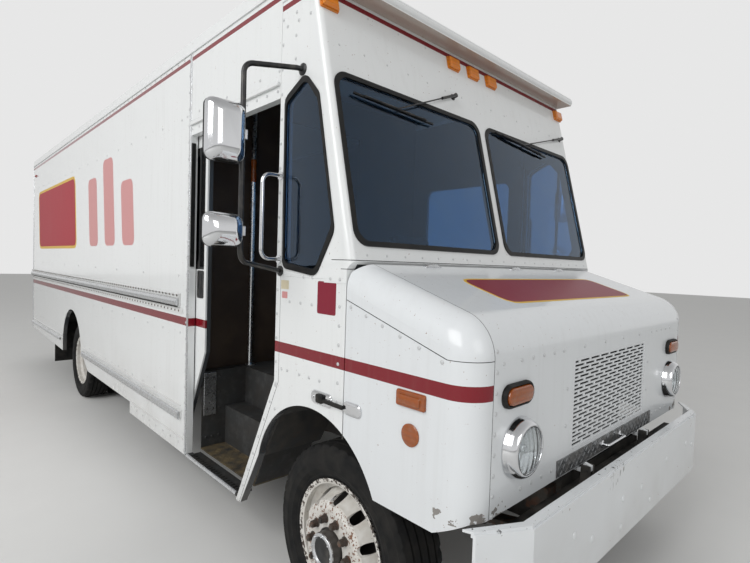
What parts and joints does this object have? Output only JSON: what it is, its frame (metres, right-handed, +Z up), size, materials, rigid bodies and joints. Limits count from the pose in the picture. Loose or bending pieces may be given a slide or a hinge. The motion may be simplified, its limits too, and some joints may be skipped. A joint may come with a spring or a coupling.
{
  "type": "walk-in delivery step van",
  "caption": "Boxy forward-control delivery step van with a tilting snub nose, sliding cab doors, swing rear doors and steered front wheels.",
  "frame": {"origin": "bottom centre of the whole van, on the ground between the axles", "axes": "+X to the van's left (driver's) side, -Y forward, +Z up"},
  "size_m": [3.01, 7.848, 2.908],
  "materials": {
    "white_paint": "weathered gloss paint on aluminium",
    "bumper_paint": "chipped white paint on steel",
    "wheel_paint": "white paint with rust",
    "chassis_black": "black chassis paint",
    "cast_steel": "rough, dirty",
    "aluminium": "satin, scuffed",
    "tread_plate": "worn tread plate",
    "chrome": "polished",
    "window_glass": "tinted",
    "lamp_glass": "fluted",
    "amber_lens": "moulded",
    "red_lens": "moulded",
    "black_rubber": "matt",
    "tyre_rubber": "matt, dusty",
    "black_plastic": "grained",
    "seat_vinyl": "worn",
    "grey_plastic": "grained"
  },
  "bodies": {
    "chassis": {"frame_rails": "chassis_black", "bumpers": "bumper_paint", "axles": "cast_steel", "leaf_springs": "cast_steel", "fuel_tank": "aluminium", "exhaust": "cast_steel", "mud_flaps": "black_rubber", "drive_line": "cast_steel", "radiator": "chassis_black", "cab_shell": "white_paint", "wall_right": "white_paint", "wall_left": "white_paint", "roof": "white_paint", "rear_frame": "white_paint", "bulkhead": "white_paint", "floor_deck": "tread_plate", "wheel_houses": "chassis_black", "step_wells": "tread_plate", "fixed_glass": "window_glass", "window_rubber": "black_rubber", "dashboard": "grey_plastic", "steering_column": "black_plastic", "driver_seat": "seat_vinyl", "engine_cover": "grey_plastic", "grab_handles": "chrome", "mirrors": "chrome", "cab_fittings": "black_rubber", "marker_lamps": "amber_lens", "tail_lamps": "red_lens", "rub_rails": "aluminium"},
    "nose": {"nose_shell": "white_paint", "grille": "white_paint", "headlamp_rings": "chrome", "headlamp_lenses": "lamp_glass", "nose_lamps": "amber_lens", "nose_fittings": "tread_plate"},
    "cab_door_right": {"door_right": "white_paint", "door_right_glass": "window_glass"},
    "cab_door_left": {"door_left": "white_paint", "door_left_glass": "window_glass"},
    "load_door_left": {"rear_door_left": "white_paint", "rear_door_left_glass": "window_glass"},
    "load_door_right": {"rear_door_right": "white_paint", "rear_door_right_glass": "window_glass"},
    "steer_left": {"knuckle_left": "cast_steel"},
    "steer_right": {"knuckle_right": "cast_steel"},
    "track_rod": {"tie_rod": "cast_steel"},
    "hand_wheel": {"steering_wheel": "black_plastic"},
    "front_left": {"front_wheel_left": "wheel_paint", "front_tyre_left": "tyre_rubber"},
    "rear_left": {"rear_wheel_left": "wheel_paint", "rear_tyre_left": "tyre_rubber"},
    "front_right": {"front_wheel_right": "wheel_paint", "front_tyre_right": "tyre_rubber"},
    "rear_right": {"rear_wheel_right": "wheel_paint", "rear_tyre_right": "tyre_rubber"}
  },
  "joints": [
    {"name": "nose_tilt", "type": "hinge", "parent": "chassis", "child": "nose", "pos_m": [0, -3.836, 0.76], "axis": [1, 0, 0], "range_deg": [0, 60]},
    {"name": "cab_door_right_slide", "type": "slide", "parent": "chassis", "child": "cab_door_right", "axis": [0, 1, 0], "range_m": [-0.88, 0]},
    {"name": "cab_door_left_slide", "type": "slide", "parent": "chassis", "child": "cab_door_left", "axis": [0, 1, 0], "range_m": [0, 0.88]},
    {"name": "load_door_left_swing", "type": "hinge", "parent": "chassis", "child": "load_door_left", "pos_m": [0.982, 3.829, 1.6], "axis": [0, 0, -1], "range_deg": [0, 175]},
    {"name": "load_door_right_swing", "type": "hinge", "parent": "chassis", "child": "load_door_right", "pos_m": [-0.982, 3.829, 1.6], "axis": [0, 0, 1], "range_deg": [0, 175]},
    {"name": "steer_left_turn", "type": "hinge", "parent": "chassis", "child": "steer_left", "pos_m": [0.82, -3.136, 0.402], "axis": [0, 0, 1], "range_deg": [-35, 35]},
    {"name": "steer_right_turn", "type": "hinge", "parent": "chassis", "child": "steer_right", "pos_m": [-0.82, -3.136, 0.402], "axis": [0, 0, 1], "range_deg": [-35, 35]},
    {"name": "track_rod_pivot", "type": "hinge", "parent": "steer_left", "child": "track_rod", "pos_m": [0.82, -2.946, 0.3], "axis": [0, 0, 1], "range_deg": [-35, 35]},
    {"name": "hand_wheel_turn", "type": "hinge", "parent": "chassis", "child": "hand_wheel", "pos_m": [0.56, -2.806, 1.39], "axis": [0, 0.5591, 0.8291], "range_deg": [-560, 560]},
    {"name": "front_left_roll", "type": "hinge", "parent": "steer_left", "child": "front_left", "pos_m": [0.955, -3.136, 0.402], "axis": [1, 0, 0], "continuous": true},
    {"name": "front_right_roll", "type": "hinge", "parent": "steer_right", "child": "front_right", "pos_m": [-0.955, -3.136, 0.402], "axis": [1, 0, 0], "continuous": true},
    {"name": "rear_left_roll", "type": "hinge", "parent": "chassis", "child": "rear_left", "pos_m": [0.765, 1.385, 0.402], "axis": [1, 0, 0], "continuous": true},
    {"name": "rear_right_roll", "type": "hinge", "parent": "chassis", "child": "rear_right", "pos_m": [-0.765, 1.385, 0.402], "axis": [1, 0, 0], "continuous": true}
  ],
  "couplings": [
    {"joint": "steer_right_turn", "follows": "steer_left_turn", "ratio": 1},
    {"joint": "track_rod_pivot", "follows": "steer_left_turn", "ratio": -1},
    {"joint": "hand_wheel_turn", "follows": "steer_left_turn", "ratio": 16}
  ]
}
